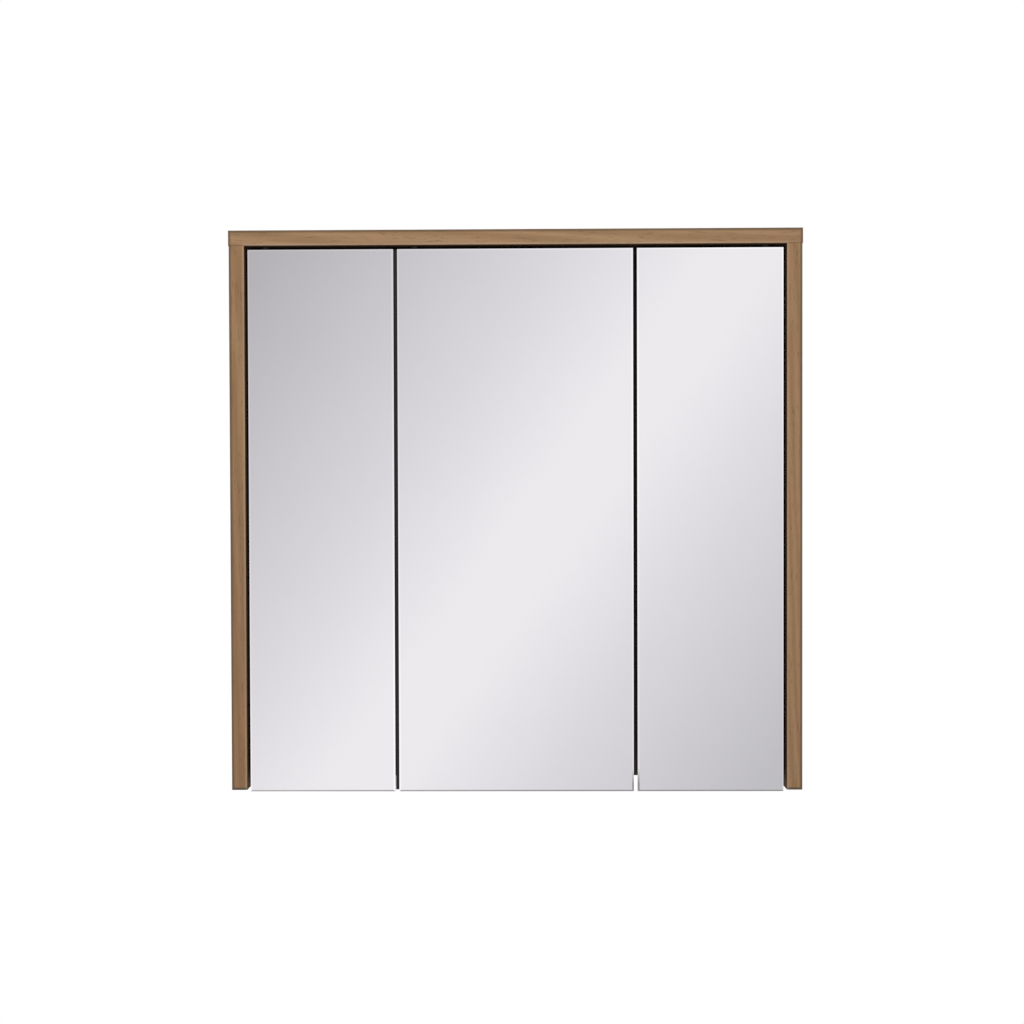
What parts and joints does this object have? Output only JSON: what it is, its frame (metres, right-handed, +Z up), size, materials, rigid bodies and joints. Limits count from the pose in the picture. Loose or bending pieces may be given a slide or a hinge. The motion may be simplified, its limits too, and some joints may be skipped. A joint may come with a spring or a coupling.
{
  "type": "bathroom mirror cabinet",
  "caption": "Wall-hung bathroom cabinet with a wood-decor frame, frameless mirror doors set flush inside it and glass shelves behind, opened by a finger grip under the doors.",
  "frame": {"origin": "centre of the four wall screws, on the wall plane", "axes": "+X to the right seen from the front, +Y towards the wall so that the mirrors face -Y, +Z up"},
  "size_m": [0.6, 0.15, 0.589],
  "materials": {
    "oak_decor_board": "satin melamine facing with printed brown oak grain",
    "oak_decor_edging": "satin printed edge band with fine lengthwise grain",
    "dark_brown_edging": "satin dark brown edge band",
    "hardboard": "hardboard, lacquered on the inside and raw on the wall side",
    "mirror": "silvered float glass with a polished arris",
    "foam_tape": "matte foam",
    "grey_faced_board": "fine-textured light grey melamine facing",
    "grey_edging": "satin grey edge band",
    "clear_glass": "clear polished float glass",
    "white_plastic": "moulded satin plastic",
    "black_plastic": "moulded satin plastic",
    "black_steel": "black powder coat on stamped sheet",
    "grey_plastic": "moulded satin plastic",
    "cast_zinc": "die-cast, dull",
    "beech": "turned, unfinished",
    "ferrite": "ground, dark grey",
    "nickel_plated_steel": "bright nickel plating",
    "zinc_plated_steel": "bright zinc plating on stamped sheet"
  },
  "bodies": {
    "cabinet": {"back_panel": "hardboard", "bottom_edging": "dark_brown_edging", "bottom_panel": "oak_decor_board", "cam_bolts": "nickel_plated_steel", "cam_discs": "cast_zinc", "catch_magnets": "ferrite", "centre_door_bottom_pivot": "black_steel", "centre_door_catch": "white_plastic", "centre_door_top_pivot": "black_steel", "centre_lower_shelf": "clear_glass", "centre_upper_shelf": "clear_glass", "hanger_screws": "nickel_plated_steel", "hardware_screws": "nickel_plated_steel", "left_door_bottom_pivot": "black_steel", "left_door_catch": "white_plastic", "left_door_top_pivot": "black_steel", "left_hanger_hook": "zinc_plated_steel", "left_hanger_housing": "grey_plastic", "left_lower_shelf": "clear_glass", "left_partition": "oak_decor_board", "left_side_edging": "oak_decor_edging", "left_side_panel": "oak_decor_board", "left_upper_shelf": "clear_glass", "left_wall_plate": "zinc_plated_steel", "partition_edging": "dark_brown_edging", "pivot_pins": "nickel_plated_steel", "right_door_bottom_pivot": "black_steel", "right_door_catch": "white_plastic", "right_door_top_pivot": "black_steel", "right_hanger_hook": "zinc_plated_steel", "right_hanger_housing": "grey_plastic", "right_lower_shelf": "clear_glass", "right_partition": "oak_decor_board", "right_side_edging": "oak_decor_edging", "right_side_panel": "oak_decor_board", "right_upper_shelf": "clear_glass", "right_wall_plate": "zinc_plated_steel", "shelf_pins": "nickel_plated_steel", "top_edging": "oak_decor_edging", "top_panel": "oak_decor_board", "wood_dowels": "beech"},
    "left_door": {"left_mirror": "mirror", "left_mirror_tapes": "foam_tape", "left_door_board": "grey_faced_board", "left_door_edging": "grey_edging", "left_door_bushes": "black_plastic", "left_door_strike": "zinc_plated_steel"},
    "centre_door": {"centre_mirror": "mirror", "centre_mirror_tapes": "foam_tape", "centre_door_board": "grey_faced_board", "centre_door_edging": "grey_edging", "centre_door_bushes": "black_plastic", "centre_door_strike": "zinc_plated_steel", "centre_door_gap_strip": "black_plastic"},
    "right_door": {"right_mirror": "mirror", "right_mirror_tapes": "foam_tape", "right_door_board": "grey_faced_board", "right_door_edging": "grey_edging", "right_door_bushes": "black_plastic", "right_door_strike": "zinc_plated_steel"}
  },
  "joints": [
    {"name": "left_door_turn", "type": "hinge", "parent": "cabinet", "child": "left_door", "pos_m": [-0.2621, -0.139, 0], "axis": [0, 0, -1], "range_deg": [0, 95]},
    {"name": "centre_door_turn", "type": "hinge", "parent": "cabinet", "child": "centre_door", "pos_m": [-0.1053, -0.139, 0], "axis": [0, 0, -1], "range_deg": [0, 95]},
    {"name": "right_door_turn", "type": "hinge", "parent": "cabinet", "child": "right_door", "pos_m": [0.2621, -0.139, 0], "axis": [0, 0, 1], "range_deg": [0, 95]}
  ]
}
